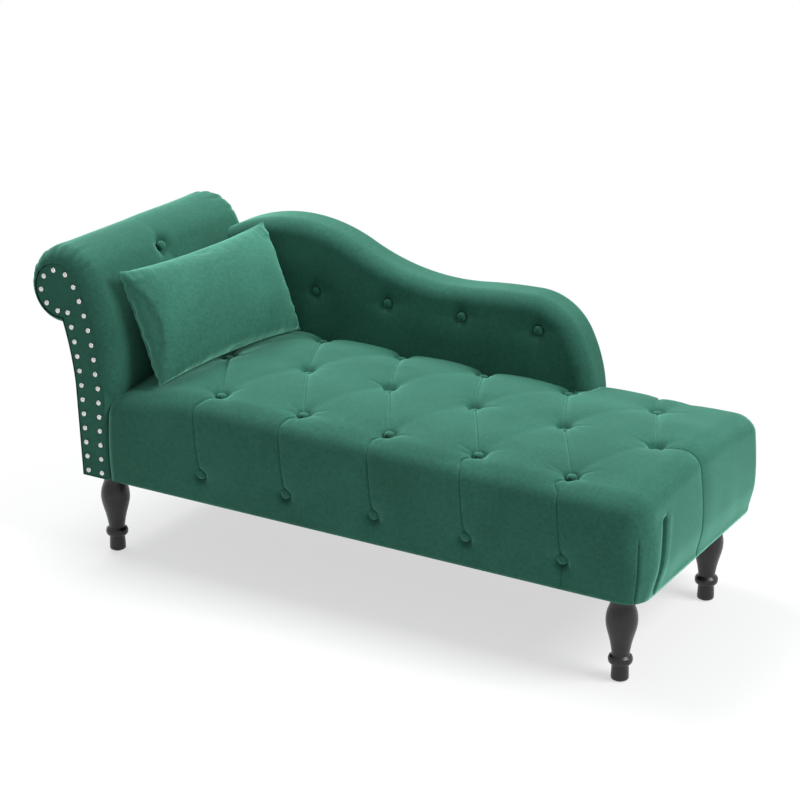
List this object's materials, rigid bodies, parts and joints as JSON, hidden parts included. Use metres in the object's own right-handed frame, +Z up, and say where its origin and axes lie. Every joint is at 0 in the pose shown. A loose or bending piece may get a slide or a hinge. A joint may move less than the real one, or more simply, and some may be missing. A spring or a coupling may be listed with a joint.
{
  "type": "chaise longue",
  "caption": "Buttoned green velvet chaise longue with a scrolled headrest, a low curved side back, turned dark legs and a loose lumbar pillow.",
  "frame": {"origin": "on the floor under the middle of the overall box", "axes": "+X from the headrest to the foot end, +Y from the open front to the side back, +Z up"},
  "size_m": [1.491, 0.6, 0.704],
  "materials": {
    "green_velvet": "cut velvet pile",
    "pillow_velvet": "cut velvet pile",
    "foam": "open-cell foam, matt",
    "fibre_filling": "loose polyester fibre",
    "dust_cloth": "thin non-woven cloth",
    "twine": "waxed upholstery twine",
    "nickel": "nickel plated, polished",
    "dark_stain": "near-black brown stain, satin lacquer",
    "frame_timber": "sawn softwood and plywood, unfinished",
    "plated_steel": "zinc plated",
    "glide_plastic": "matt"
  },
  "bodies": {
    "chaise": {"back_buttons": "green_velvet", "back_cover": "green_velvet", "back_foam": "foam", "back_front_board": "frame_timber", "back_rear_board": "frame_timber", "back_spacers": "frame_timber", "button_twines": "twine", "corner_blocks": "frame_timber", "cross_stretcher_1": "frame_timber", "cross_stretcher_2": "frame_timber", "cross_stretcher_3": "frame_timber", "cross_stretcher_4": "frame_timber", "dust_cover": "dust_cloth", "foot_rail": "frame_timber", "frame_bolts": "plated_steel", "frame_nuts": "plated_steel", "front_buttons": "green_velvet", "head_rail": "frame_timber", "headrest_buttons": "green_velvet", "headrest_cover": "green_velvet", "headrest_foam": "foam", "headrest_front_board": "frame_timber", "headrest_lower_batten": "frame_timber", "headrest_middle_batten": "frame_timber", "headrest_rear_board": "frame_timber", "headrest_rear_panel": "green_velvet", "headrest_roll_batten": "frame_timber", "leg_bolts": "plated_steel", "leg_front_foot": "dark_stain", "leg_front_head": "dark_stain", "leg_glides": "glide_plastic", "leg_plates": "plated_steel", "leg_rear_foot": "dark_stain", "leg_rear_head": "dark_stain", "nailheads": "nickel", "scroll_panel": "green_velvet", "seat_buttons": "green_velvet", "seat_cover": "green_velvet", "seat_deck": "frame_timber", "seat_foam": "foam", "seat_front_rail": "frame_timber", "seat_rear_rail": "frame_timber"},
    "pillow": {"pillow_cover": "pillow_velvet", "pillow_filling": "fibre_filling"}
  },
  "joints": [
    {"name": "pillow_lift", "type": "slide", "parent": "chaise", "child": "pillow", "axis": [0, 0, 1], "range_m": [0, 0.34]}
  ]
}
